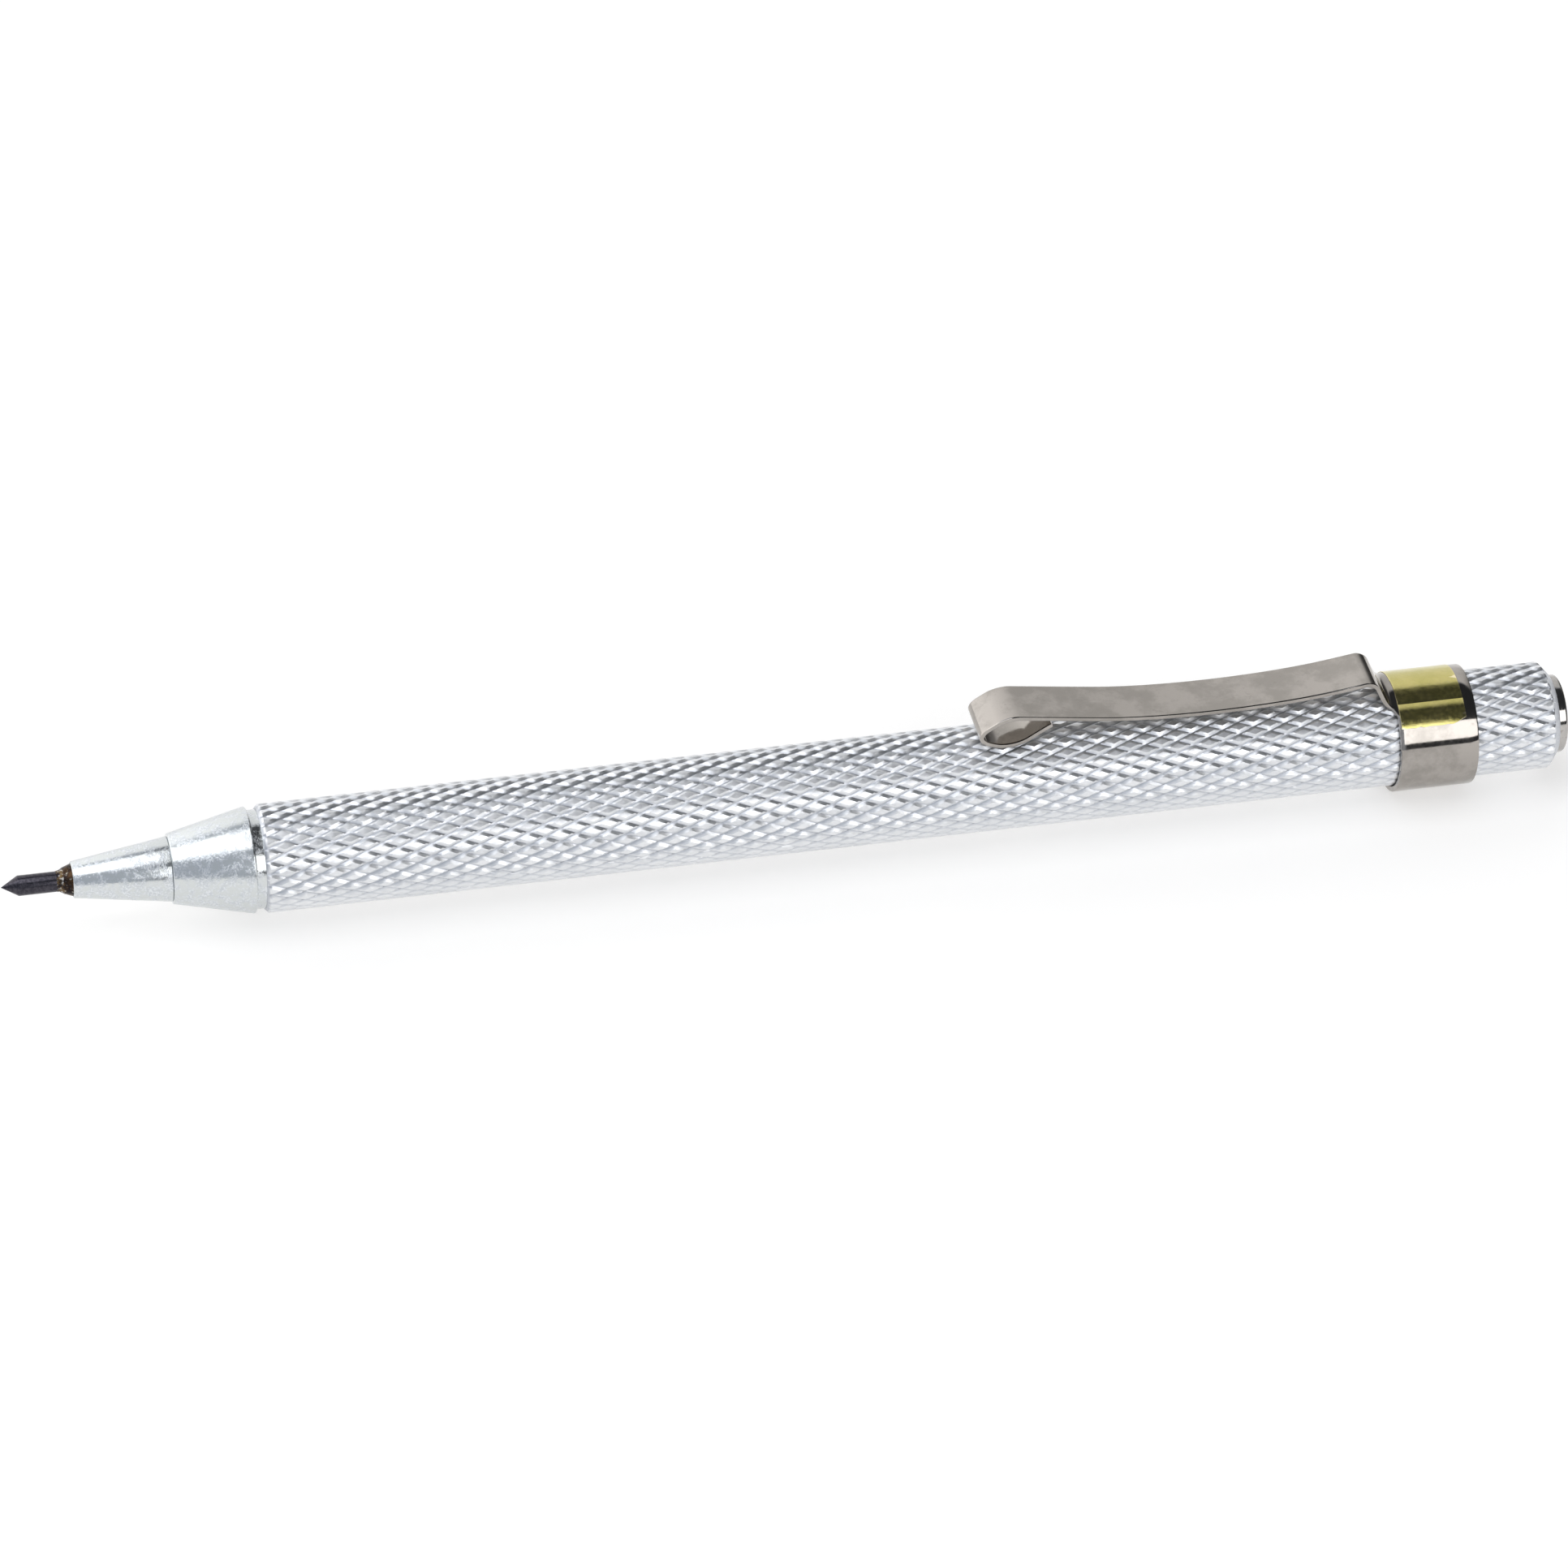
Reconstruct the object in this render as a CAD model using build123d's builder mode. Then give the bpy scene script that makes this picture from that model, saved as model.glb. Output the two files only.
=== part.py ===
from build123d import *
import math
import os

# A machinist's pocket scriber, in millimetres.
# The axis of the barrel is X. The origin is the centre of the magnet's flat end, the scribing
# point is towards -X, and the pocket clip stands on the +Z side.

# Barrel
barrel_diameter = 9.525
barrel_length = 116.0
barrel_front_chamfer = 0.3
tail_chamfer_length = 0.8
tail_rim = 0.26
socket_end_room = 0.3
shank_bore_clearance = 0.325
shank_bore_end_room = 22.0

# Magnet
magnet_diameter = 6.95
magnet_length = 8.0
magnet_proud = 0.85
magnet_edge_radius = 0.25
magnet_seat_clearance = 0.025

# Chuck body: stub in the barrel, relief groove, rear cone of the nose
stub_length = 10.0
relief_width = 0.85
relief_depth = 0.4375
body_cone_length = 7.05
body_cone_setback = 0.0475
body_front_wall = 0.625
body_edge_radius = 0.25
stub_wall = 0.96
body_rear_wall = 3.0
rear_wall_hole_clearance = 0.175

# Chuck cap: front cone of the nose, with a threaded spigot that screws into the chuck body
cap_cone_length = 8.5
parting_step = 0.215
mouth_lip = 0.15
spigot_wall = 0.16
spigot_length = 4.5
thread_clearance = 0.05
thread_runout = 0.5

# Collet
collet_wall = 0.76
collet_front_wall = 0.31
collet_clearance = 0.04
collet_reach = 1.2
collet_taper_length = 1.2
collet_slot_width = 0.35
collet_slot_length = 8.0

# Point: steel shank, braze collar and carbide rod
shank_diameter = 2.85
shank_clearance = 0.025
grip_clearance = 0.015
shank_inside_length = 38.4
shank_cone_length = 0.75
shank_cone_front_wall = 0.245
shank_end_chamfer = 0.3
rod_diameter = 1.79
rod_clearance = 0.01
rod_socket_depth = 4.0
braze_length = 0.58
braze_edge = 0.02
braze_hollow_along = 0.45
braze_hollow_up = 0.4
rod_visible_length = 3.31
rod_cone_length = 1.47
apex_radius = 0.04

# Pocket clip: ring, neck, arm and rolled foot, all from one strip
ring_clearance = 0.08
ring_wall = 0.5
ring_width = 7.1
ring_to_tail = 7.93
strip_thickness = 0.4
strip_width = 4.65
tongue_length = 1.0

# Outline of the strip's outer face: distance ahead of the ring's front edge and height
# above the barrel's surface, at the corners of the bent strip
neck_base = (0.65, 0.3)
neck_top = (2.05, 2.73)
arm_split = (3.0, 2.58)
arm_valley = (15.9, 0.645)
foot_brow = (35.3, 3.41)
foot_nose = (38.4, 1.35)
foot_sole = (34.7, -0.21)
foot_return_ahead = 31.15
foot_return_gap = 0.138
arm_valley_radius = 73.0
neck_bend_inner_radius = 0.4
foot_brow_inner_radius = 0.5
foot_nose_inner_radius = 0.25
foot_sole_inner_radius = 1.8

# Foil label on the ring
foil_thickness = 0.06
foil_front_gap = 0.12
foil_rear_gap = 1.03
foil_start_angle = 2.0
foil_sweep_angle = 137.0

# Radii that follow from the sizes above, from the rod outwards
barrel_radius = barrel_diameter / 2
magnet_radius = magnet_diameter / 2
magnet_seat_radius = magnet_radius + magnet_seat_clearance
rod_radius = rod_diameter / 2
rod_socket_radius = rod_radius + rod_clearance
shank_radius = shank_diameter / 2
shank_cone_front_radius = rod_socket_radius + shank_cone_front_wall
grip_radius = shank_radius + grip_clearance
collet_radius = grip_radius + collet_wall
collet_front_radius = grip_radius + collet_front_wall
collet_bore_radius = collet_radius + collet_clearance
socket_radius = collet_bore_radius + stub_wall
shank_bore_radius = shank_radius + shank_bore_clearance
rear_wall_hole_radius = shank_radius + rear_wall_hole_clearance
mouth_radius = shank_radius + shank_clearance
cap_cone_front_radius = mouth_radius + mouth_lip
spigot_radius = collet_bore_radius + spigot_wall
thread_bore_radius = spigot_radius + thread_clearance
body_cone_front_radius = thread_bore_radius + body_front_wall
cap_cone_rear_radius = body_cone_front_radius - parting_step
body_cone_rear_radius = barrel_radius - body_cone_setback
relief_radius = barrel_radius - relief_depth
ring_inner_radius = barrel_radius + ring_clearance
ring_outer_radius = ring_inner_radius + ring_wall
foil_outer_radius = ring_outer_radius + foil_thickness
tail_chamfer_depth = barrel_radius - magnet_seat_radius - tail_rim
neck_bend_radius = neck_bend_inner_radius + strip_thickness
foot_brow_radius = foot_brow_inner_radius + strip_thickness
foot_nose_radius = foot_nose_inner_radius + strip_thickness
foot_sole_radius = foot_sole_inner_radius + strip_thickness

# The foot's return leg ends just under the arm, with the strip's thickness between twice over
arm_slope = (foot_brow[1] - arm_valley[1]) / (foot_brow[0] - arm_valley[0])
arm_height_over_return = arm_valley[1] + arm_slope * (foot_return_ahead - arm_valley[0])
foot_return_height = arm_height_over_return - 2 * strip_thickness - foot_return_gap
foot_return = (foot_return_ahead, foot_return_height)

# Stations along the axis that follow from the sizes above, from the tail to the point
barrel_rear_x = -magnet_proud
magnet_front_x = -magnet_length
ring_rear_x = barrel_rear_x - ring_to_tail
ring_front_x = ring_rear_x - ring_width
tongue_front_x = ring_front_x - tongue_length
foil_front_x = ring_front_x + foil_front_gap
foil_width = ring_width - foil_front_gap - foil_rear_gap
barrel_front_x = barrel_rear_x - barrel_length
stub_rear_x = barrel_front_x + stub_length
socket_floor_x = stub_rear_x + socket_end_room
collet_rear_x = stub_rear_x - body_rear_wall
relief_front_x = barrel_front_x - relief_width
parting_x = relief_front_x - body_cone_length
spigot_rear_x = parting_x + spigot_length
thread_bore_floor_x = spigot_rear_x + thread_runout
collet_front_x = spigot_rear_x - collet_reach
collet_taper_x = collet_front_x + collet_taper_length
mouth_x = parting_x - cap_cone_length
shank_rear_x = mouth_x + shank_inside_length
shank_bore_floor_x = shank_rear_x + shank_bore_end_room
shank_cone_front_x = mouth_x - shank_cone_length
rod_rear_x = shank_cone_front_x + rod_socket_depth
braze_front_x = shank_cone_front_x - braze_length
rod_cone_base_x = braze_front_x - rod_visible_length
apex_x = rod_cone_base_x - rod_cone_length


def strip_point(corner):
    """A corner of the clip's outline, in the X-Z plane."""
    ahead, height = corner
    return (ring_front_x - ahead, barrel_radius + height)


def finish_piece(piece, name):
    """Label a finished piece and write its STEP file."""
    piece.label = name
    export_step(piece, f"parts/{name}.step")


os.makedirs("parts", exist_ok=True)

# Barrel: a round bar at the diameter over the knurl's crests, bored from both ends
with BuildPart() as barrel:
    with BuildSketch(Plane.YZ.offset(barrel_front_x)):
        Circle(barrel_radius)
    extrude(amount=barrel_length)
    rims = barrel.edges().filter_by(GeomType.CIRCLE).sort_by(Axis.X)
    tail_face = barrel.faces().sort_by(Axis.X)[-1]
    chamfer(rims[-1], length=tail_chamfer_depth, length2=tail_chamfer_length, reference=tail_face)
    chamfer(barrel.edges().filter_by(GeomType.CIRCLE).sort_by(Axis.X)[0], length=barrel_front_chamfer)
    with BuildSketch(Plane.YZ.offset(barrel_front_x)):
        Circle(socket_radius)
    extrude(amount=socket_floor_x - barrel_front_x, mode=Mode.SUBTRACT)
    with BuildSketch(Plane.YZ.offset(socket_floor_x)):
        Circle(shank_bore_radius)
    extrude(amount=shank_bore_floor_x - socket_floor_x, mode=Mode.SUBTRACT)
    with BuildSketch(Plane.YZ.offset(barrel_rear_x)):
        Circle(magnet_seat_radius)
    extrude(amount=magnet_front_x - barrel_rear_x, mode=Mode.SUBTRACT)
finish_piece(barrel.part, "barrel")

# Magnet: plain plated cylinder with softened rims
with BuildPart() as magnet:
    with BuildSketch(Plane.YZ):
        Circle(magnet_radius)
    extrude(amount=-magnet_length)
    fillet(magnet.edges().filter_by(GeomType.CIRCLE), radius=magnet_edge_radius)
finish_piece(magnet.part, "magnet")

# Chuck body: turned from one bar, bored from the front for the cap's thread and the collet
with BuildPart() as chuck_body:
    with BuildSketch(Plane.XY) as body_profile:
        with BuildLine():
            Polyline(
                (stub_rear_x, rear_wall_hole_radius),
                (stub_rear_x, socket_radius),
                (barrel_front_x, socket_radius),
                (barrel_front_x, relief_radius),
                (relief_front_x, relief_radius),
                (relief_front_x, body_cone_rear_radius),
                (parting_x, body_cone_front_radius),
                (parting_x, thread_bore_radius),
                (thread_bore_floor_x, thread_bore_radius),
                (thread_bore_floor_x, collet_bore_radius),
                (collet_rear_x, collet_bore_radius),
                (collet_rear_x, rear_wall_hole_radius),
                close=True,
            )
        make_face()
        fillet(body_profile.vertices().sort_by(Axis.Y)[-1], radius=body_edge_radius)
    revolve(axis=Axis.X)
finish_piece(chuck_body.part, "chuck_body")

# Chuck cap: the front cone, its spigot, and the inner cone that squeezes the collet
inner_cone_front_radius = collet_front_radius + collet_clearance
inner_cone_front_x = collet_front_x - collet_clearance
inner_cone_rear_x = collet_taper_x - collet_clearance
with BuildPart() as chuck_cap:
    with BuildSketch(Plane.XY):
        with BuildLine():
            Polyline(
                (mouth_x, mouth_radius),
                (mouth_x, cap_cone_front_radius),
                (parting_x, cap_cone_rear_radius),
                (parting_x, spigot_radius),
                (spigot_rear_x, spigot_radius),
                (spigot_rear_x, collet_bore_radius),
                (inner_cone_rear_x, collet_bore_radius),
                (inner_cone_front_x, inner_cone_front_radius),
                (inner_cone_front_x, mouth_radius),
                close=True,
            )
        make_face()
    revolve(axis=Axis.X)
finish_piece(chuck_cap.part, "chuck_cap")

# Collet: brass sleeve with a coned front end, slit crosswise into four jaws
with BuildPart() as collet:
    with BuildSketch(Plane.XY):
        with BuildLine():
            Polyline(
                (collet_front_x, grip_radius),
                (collet_front_x, collet_front_radius),
                (collet_taper_x, collet_radius),
                (collet_rear_x, collet_radius),
                (collet_rear_x, grip_radius),
                close=True,
            )
        make_face()
    revolve(axis=Axis.X)
    slot_middle_x = collet_front_x + collet_slot_length / 2
    with Locations((slot_middle_x, 0, 0)):
        Box(collet_slot_length, 2 * collet_radius, collet_slot_width, mode=Mode.SUBTRACT)
        Box(collet_slot_length, collet_slot_width, 2 * collet_radius, mode=Mode.SUBTRACT)
finish_piece(collet.part, "collet")

# Point shank: plain steel rod with a coned front end, drilled for the carbide rod
with BuildPart() as point_shank:
    with BuildSketch(Plane.XY):
        with BuildLine():
            Polyline(
                (rod_rear_x, 0),
                (rod_rear_x, rod_socket_radius),
                (shank_cone_front_x, rod_socket_radius),
                (shank_cone_front_x, shank_cone_front_radius),
                (mouth_x, shank_radius),
                (shank_rear_x, shank_radius),
                (shank_rear_x, 0),
                close=True,
            )
        make_face()
    revolve(axis=Axis.X)
    rear_rim = point_shank.edges().filter_by(GeomType.CIRCLE).sort_by(Axis.X)[-1]
    chamfer(rear_rim, length=shank_end_chamfer)
finish_piece(point_shank.part, "point_shank")

# Braze fillet: hollow-faced collar that runs from the shank's cone onto the rod
with BuildPart() as braze_fillet:
    with BuildSketch(Plane.XY):
        with BuildLine():
            hollow_start = (shank_cone_front_x, shank_cone_front_radius)
            hollow_end = (braze_front_x, rod_socket_radius + braze_edge)
            hollow_middle = (
                shank_cone_front_x - braze_hollow_along * braze_length,
                rod_socket_radius + braze_hollow_up * shank_cone_front_wall,
            )
            ThreePointArc(hollow_start, hollow_middle, hollow_end)
            Polyline(
                hollow_end,
                (braze_front_x, rod_socket_radius),
                (shank_cone_front_x, rod_socket_radius),
                hollow_start,
            )
        make_face()
    revolve(axis=Axis.X)
finish_piece(braze_fillet.part, "braze_fillet")

# Carbide tip: round rod ground to a cone, with a minute ball at its apex
cone_half_angle = math.atan2(rod_radius, rod_cone_length)
apex_touch_x = apex_x + apex_radius * (1 - math.sin(cone_half_angle))
apex_touch_radius = apex_radius * math.cos(cone_half_angle)
apex_turn = math.radians(45) - cone_half_angle / 2
apex_middle = (
    apex_x + apex_radius * (1 - math.cos(apex_turn)),
    apex_radius * math.sin(apex_turn),
)
with BuildPart() as carbide_tip:
    with BuildSketch(Plane.XY):
        with BuildLine():
            ThreePointArc((apex_x, 0), apex_middle, (apex_touch_x, apex_touch_radius))
            Polyline(
                (apex_touch_x, apex_touch_radius),
                (rod_cone_base_x, rod_radius),
                (rod_rear_x, rod_radius),
                (rod_rear_x, 0),
                (apex_x, 0),
            )
        make_face()
    revolve(axis=Axis.X)
finish_piece(carbide_tip.part, "carbide_tip")

# Clip band: closed ring, a tongue that runs forward from its top, and the neck bent up from it
with BuildPart() as clip_band:
    with BuildSketch(Plane.YZ.offset(ring_front_x)):
        Circle(ring_outer_radius)
    extrude(amount=ring_width)
    with BuildSketch(Plane.YZ.offset(tongue_front_x)):
        Circle(ring_outer_radius)
        with Locations((0, ring_outer_radius)):
            Rectangle(strip_width, ring_outer_radius, mode=Mode.INTERSECT)
    extrude(amount=tongue_length)
    with BuildSketch(Plane.XZ):
        with BuildLine():
            FilletPolyline(
                strip_point(arm_split),
                strip_point(neck_top),
                strip_point(neck_base),
                radius=[neck_bend_radius],
            )
            offset(amount=strip_thickness, side=Side.RIGHT)
        make_face()
    extrude(amount=strip_width / 2, both=True)
    with BuildSketch(Plane.YZ.offset(tongue_front_x)):
        Circle(ring_inner_radius)
    extrude(amount=ring_width + tongue_length, mode=Mode.SUBTRACT)
finish_piece(clip_band.part, "clip_band")

# Clip arm: the strip ahead of the neck, bowed towards the barrel and rolled into a foot
with BuildPart() as clip_arm:
    with BuildSketch(Plane.XZ):
        with BuildLine():
            FilletPolyline(
                strip_point(arm_split),
                strip_point(arm_valley),
                strip_point(foot_brow),
                strip_point(foot_nose),
                strip_point(foot_sole),
                strip_point(foot_return),
                radius=[arm_valley_radius, foot_brow_radius, foot_nose_radius, foot_sole_radius],
            )
            offset(amount=strip_thickness, side=Side.LEFT)
        make_face()
    extrude(amount=strip_width / 2, both=True)
finish_piece(clip_arm.part, "clip_arm")

# Foil label: thin skin on the ring, from the far side over the top to the near side
with BuildPart() as foil_label:
    with BuildSketch(Plane.YZ.offset(foil_front_x)):
        with BuildLine():
            inner_arc = CenterArc((0, 0), ring_outer_radius, foil_start_angle, foil_sweep_angle)
            outer_arc = CenterArc((0, 0), foil_outer_radius, foil_start_angle, foil_sweep_angle)
            Line(inner_arc @ 0, outer_arc @ 0)
            Line(inner_arc @ 1, outer_arc @ 1)
        make_face()
    extrude(amount=foil_width)
finish_piece(foil_label.part, "foil_label")
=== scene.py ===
import math

import bmesh
import bpy
from mathutils import Matrix, Vector, noise


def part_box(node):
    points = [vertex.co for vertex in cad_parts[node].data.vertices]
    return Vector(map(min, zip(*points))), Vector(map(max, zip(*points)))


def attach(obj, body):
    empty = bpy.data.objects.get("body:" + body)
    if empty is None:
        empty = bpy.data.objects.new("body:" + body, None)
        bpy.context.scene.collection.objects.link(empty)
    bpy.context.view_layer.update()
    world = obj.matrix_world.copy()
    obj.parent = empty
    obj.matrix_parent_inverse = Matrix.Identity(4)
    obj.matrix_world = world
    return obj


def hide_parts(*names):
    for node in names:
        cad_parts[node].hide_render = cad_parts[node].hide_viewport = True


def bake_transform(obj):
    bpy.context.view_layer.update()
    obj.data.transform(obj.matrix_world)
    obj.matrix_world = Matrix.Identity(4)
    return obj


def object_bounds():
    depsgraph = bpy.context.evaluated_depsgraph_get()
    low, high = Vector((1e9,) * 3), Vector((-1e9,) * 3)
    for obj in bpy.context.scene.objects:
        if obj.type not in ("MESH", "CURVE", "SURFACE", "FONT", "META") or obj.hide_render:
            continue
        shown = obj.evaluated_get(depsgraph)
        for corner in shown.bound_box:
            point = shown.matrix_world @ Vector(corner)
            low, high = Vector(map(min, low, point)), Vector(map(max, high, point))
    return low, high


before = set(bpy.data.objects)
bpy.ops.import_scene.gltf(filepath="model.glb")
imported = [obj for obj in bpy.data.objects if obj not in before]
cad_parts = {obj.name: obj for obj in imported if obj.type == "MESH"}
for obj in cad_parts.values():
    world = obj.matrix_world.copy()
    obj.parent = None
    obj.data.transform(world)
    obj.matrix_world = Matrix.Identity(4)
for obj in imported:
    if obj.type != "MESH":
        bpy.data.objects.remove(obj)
cad_low, cad_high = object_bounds()

# A machinist's pocket scriber. The barrel's axis is X, the point is towards -X, the clip is on +Z.
MM = 0.001
TOUCH = 0.005 * MM
FINE = 1e-7
# Noise cells per metre in the ragged edge of the foil and the ripple of the braze
RAGGED_SCALE = 2600

barrel_low, barrel_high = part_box("barrel")
body_low, body_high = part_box("chuck_body")
cap_low, cap_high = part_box("chuck_cap")
shank_low, shank_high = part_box("point_shank")
braze_low, braze_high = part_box("braze_fillet")
tip_low, tip_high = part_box("carbide_tip")
band_low, band_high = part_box("clip_band")
foil_low, foil_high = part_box("foil_label")
magnet_low, magnet_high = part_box("magnet")

BARREL_RADIUS = barrel_high.y
BARREL_REAR = barrel_high.x
BARREL_FRONT = barrel_low.x
PARTING = body_low.x
MOUTH = cap_low.x
SPIGOT_REAR = cap_high.x
SHANK_RADIUS = shank_high.y
ROD_RADIUS = tip_high.y
RING_RADIUS = band_high.y
RING_REAR = band_high.x
MAGNET_RADIUS = magnet_high.y
FLOOR_LEVEL = cad_low.z


# ---------------------------------------------------------------- mesh helpers

def verts_in(geom):
    return [part for part in geom if isinstance(part, bmesh.types.BMVert)]


def everything(bm):
    return bm.verts[:] + bm.edges[:] + bm.faces[:]


def reach_of(v):
    """Distance of a vertex from the barrel's axis."""
    return math.hypot(v.co.y, v.co.z)


def move_out(v, factor):
    """Scales a vertex's distance from the barrel's axis."""
    v.co.y *= factor
    v.co.z *= factor


def as_object(bm, name, material):
    mesh = bpy.data.meshes.new(name)
    bm.to_mesh(mesh)
    bm.free()
    mesh.materials.append(material)
    piece = bpy.data.objects.new(name, mesh)
    bpy.context.scene.collection.objects.link(piece)
    return piece


def finish_piece(bm, name, material, body, stands_for, sharp=34.0):
    """Makes the object, shades it smooth apart from its sharp edges, and hands it to its body."""
    for face in bm.faces:
        face.smooth = True
    limit = math.radians(sharp)
    for edge in bm.edges:
        edge.smooth = edge.calc_face_angle(0.0) < limit
    piece = as_object(bm, name, material)
    if body:
        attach(piece, body)
    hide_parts(*stands_for)
    return piece


def turned(profile, closed=False, steps=112):
    """A (station, radius) profile, spun once round the barrel's axis."""
    bm = bmesh.new()
    points = [bm.verts.new((x, 0.0, radius)) for x, radius in profile]
    pairs = list(zip(points, points[1:]))
    if closed:
        pairs.append((points[-1], points[0]))
    lines = [bm.edges.new(pair) for pair in pairs]
    bmesh.ops.spin(bm, geom=points + lines, cent=(0, 0, 0), axis=(1, 0, 0),
                   angle=math.tau, steps=steps, use_merge=True)
    bmesh.ops.remove_doubles(bm, verts=bm.verts, dist=FINE)
    bmesh.ops.recalc_face_normals(bm, faces=bm.faces)
    return bm


def round_corners(bm, corners, segments=3):
    """Rounds the turned rims at the given (station, radius, rounding) corners."""
    for station, radius, rounding in corners:
        rims = [
            edge for edge in bm.edges
            if all(abs(v.co.x - station) < TOUCH for v in edge.verts)
            and all(abs(reach_of(v) - radius) < TOUCH for v in edge.verts)
        ]
        bmesh.ops.bevel(bm, geom=rims, offset=rounding, offset_type="OFFSET", segments=segments,
                        profile=0.5, affect="EDGES", material=-1)


def soften_rims(bm, offset, segments):
    """Rounds every edge that is a sheet's cut rim."""
    rims = [edge for edge in bm.edges if edge.calc_face_angle(0.0) > math.radians(60)]
    bmesh.ops.bevel(bm, geom=rims, offset=offset, offset_type="OFFSET", segments=segments,
                    profile=0.5, affect="EDGES", material=-1, clamp_overlap=True)


def extrude_rim(bm, edges):
    """Extrudes a run of edges in place, and returns its new vertices and new edges."""
    made = bmesh.ops.extrude_edge_only(bm, edges=edges)["geom"]
    verts = verts_in(made)
    fresh = set(verts)
    rim = [g for g in made if isinstance(g, bmesh.types.BMEdge) and fresh.issuperset(g.verts)]
    return verts, rim


def ring_of(bm, edges, station, radius):
    """Extrudes a loop of edges to a plain circle at that station and radius."""
    verts, rim = extrude_rim(bm, edges)
    for v in verts:
        reach = reach_of(v)
        v.co = Vector((station, v.co.y * radius / reach, v.co.z * radius / reach))
    return rim


# ---------------------------------------------------------------- node helpers

# Sockets of the Mix node when it mixes colours, and when it mixes numbers
COLOUR_A, COLOUR_B, COLOUR_RESULT = 6, 7, 2
NUMBER_A, NUMBER_B, NUMBER_RESULT = 2, 3, 0
# How many times finer the mottle's second pattern is
FINE_GRAIN = 7.0


def add(tree, kind, **settings):
    node = tree.nodes.new(kind)
    for key, value in settings.items():
        if key in node.inputs:
            node.inputs[key].default_value = value
        else:
            setattr(node, key, value)
    return node


def link(tree, source, target):
    tree.links.new(source, target)


def feed(tree, value, socket):
    """Sets a socket to a plain number or colour, or links it to another node's output."""
    if isinstance(value, tuple):
        socket.default_value = (*value, 1.0)
    elif isinstance(value, (int, float)):
        socket.default_value = value
    else:
        link(tree, value, socket)


def math_node(tree, operation, a, b):
    node = add(tree, "ShaderNodeMath", operation=operation)
    feed(tree, a, node.inputs[0])
    feed(tree, b, node.inputs[1])
    return node.outputs[0]


def times(tree, a, b):
    return math_node(tree, "MULTIPLY", a, b)


def plus(tree, a, b):
    return math_node(tree, "ADD", a, b)


def remap(tree, value, from_low, from_high, to_low=0.0, to_high=1.0, smooth=True):
    node = add(tree, "ShaderNodeMapRange",
               interpolation_type="SMOOTHSTEP" if smooth else "LINEAR")
    link(tree, value, node.inputs["Value"])
    for name, level in (("From Min", from_low), ("From Max", from_high),
                        ("To Min", to_low), ("To Max", to_high)):
        feed(tree, level, node.inputs[name])
    return node.outputs["Result"]


def mix_colour(tree, mask, a, b, share=1.0):
    """Colour a where the mask is 0, and b where it is 1, or that share of b."""
    if share < 1.0:
        mask = times(tree, mask, share)
    node = add(tree, "ShaderNodeMix", data_type="RGBA")
    link(tree, mask, node.inputs["Factor"])
    feed(tree, a, node.inputs[COLOUR_A])
    feed(tree, b, node.inputs[COLOUR_B])
    return node.outputs[COLOUR_RESULT]


def object_axes(tree):
    """The object's own coordinates, and the same split into X, Y and Z."""
    place_in = add(tree, "ShaderNodeTexCoord").outputs["Object"]
    axes = add(tree, "ShaderNodeSeparateXYZ")
    link(tree, place_in, axes.inputs[0])
    return place_in, axes.outputs


def effect_group(name, inputs, outputs):
    """An empty shader node group with named float inputs and outputs."""
    group = bpy.data.node_groups.new(name, "ShaderNodeTree")
    for label, default in inputs:
        socket = group.interface.new_socket(name=label, in_out="INPUT",
                                            socket_type="NodeSocketFloat")
        socket.default_value = default
    for label in outputs:
        group.interface.new_socket(name=label, in_out="OUTPUT", socket_type="NodeSocketFloat")
    return group, group.nodes.new("NodeGroupInput"), group.nodes.new("NodeGroupOutput")


def place(tree, group, **values):
    node = tree.nodes.new("ShaderNodeGroup")
    node.node_tree = group
    for key, value in values.items():
        node.inputs[key.replace("_", " ")].default_value = value
    return node


def metal(name, **sockets):
    """A Principled metal with its plain sockets set, ready for its varying inputs."""
    material = bpy.data.materials.new(name)
    material.use_nodes = True
    tree = material.node_tree
    shader = tree.nodes["Principled BSDF"]
    shader.inputs["Metallic"].default_value = 1.0
    for key, value in sockets.items():
        shader.inputs[key.replace("_", " ")].default_value = value
    return material, tree, shader


def bump(tree, shader, height, distance, strength=1.0):
    node = add(tree, "ShaderNodeBump", Distance=distance, Strength=strength)
    link(tree, height, node.inputs["Height"])
    link(tree, node.outputs["Normal"], shader.inputs["Normal"])


# ---------------------------------------------------------------- shared effects

def make_turning_marks():
    """Fine rings that a lathe tool leaves round the X axis, with a faint wander."""
    group, given, result = effect_group(
        "turning_marks", [("Rings per metre", 9000.0), ("Wander", 0.02)], ["Mask"])
    place_in, axes = object_axes(group)
    drift = add(group, "ShaderNodeTexNoise", Scale=300.0, Detail=1.0)
    link(group, place_in, drift.inputs["Vector"])
    wander = times(group, drift.outputs["Fac"], given.outputs["Wander"])
    along = times(group, axes["X"], given.outputs["Rings per metre"])
    rings = add(group, "ShaderNodeTexNoise", noise_dimensions="1D", Scale=1.0, Detail=3.0,
                Roughness=0.65)
    link(group, plus(group, along, wander), rings.inputs["W"])
    link(group, rings.outputs["Fac"], result.inputs["Mask"])
    return group


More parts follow.
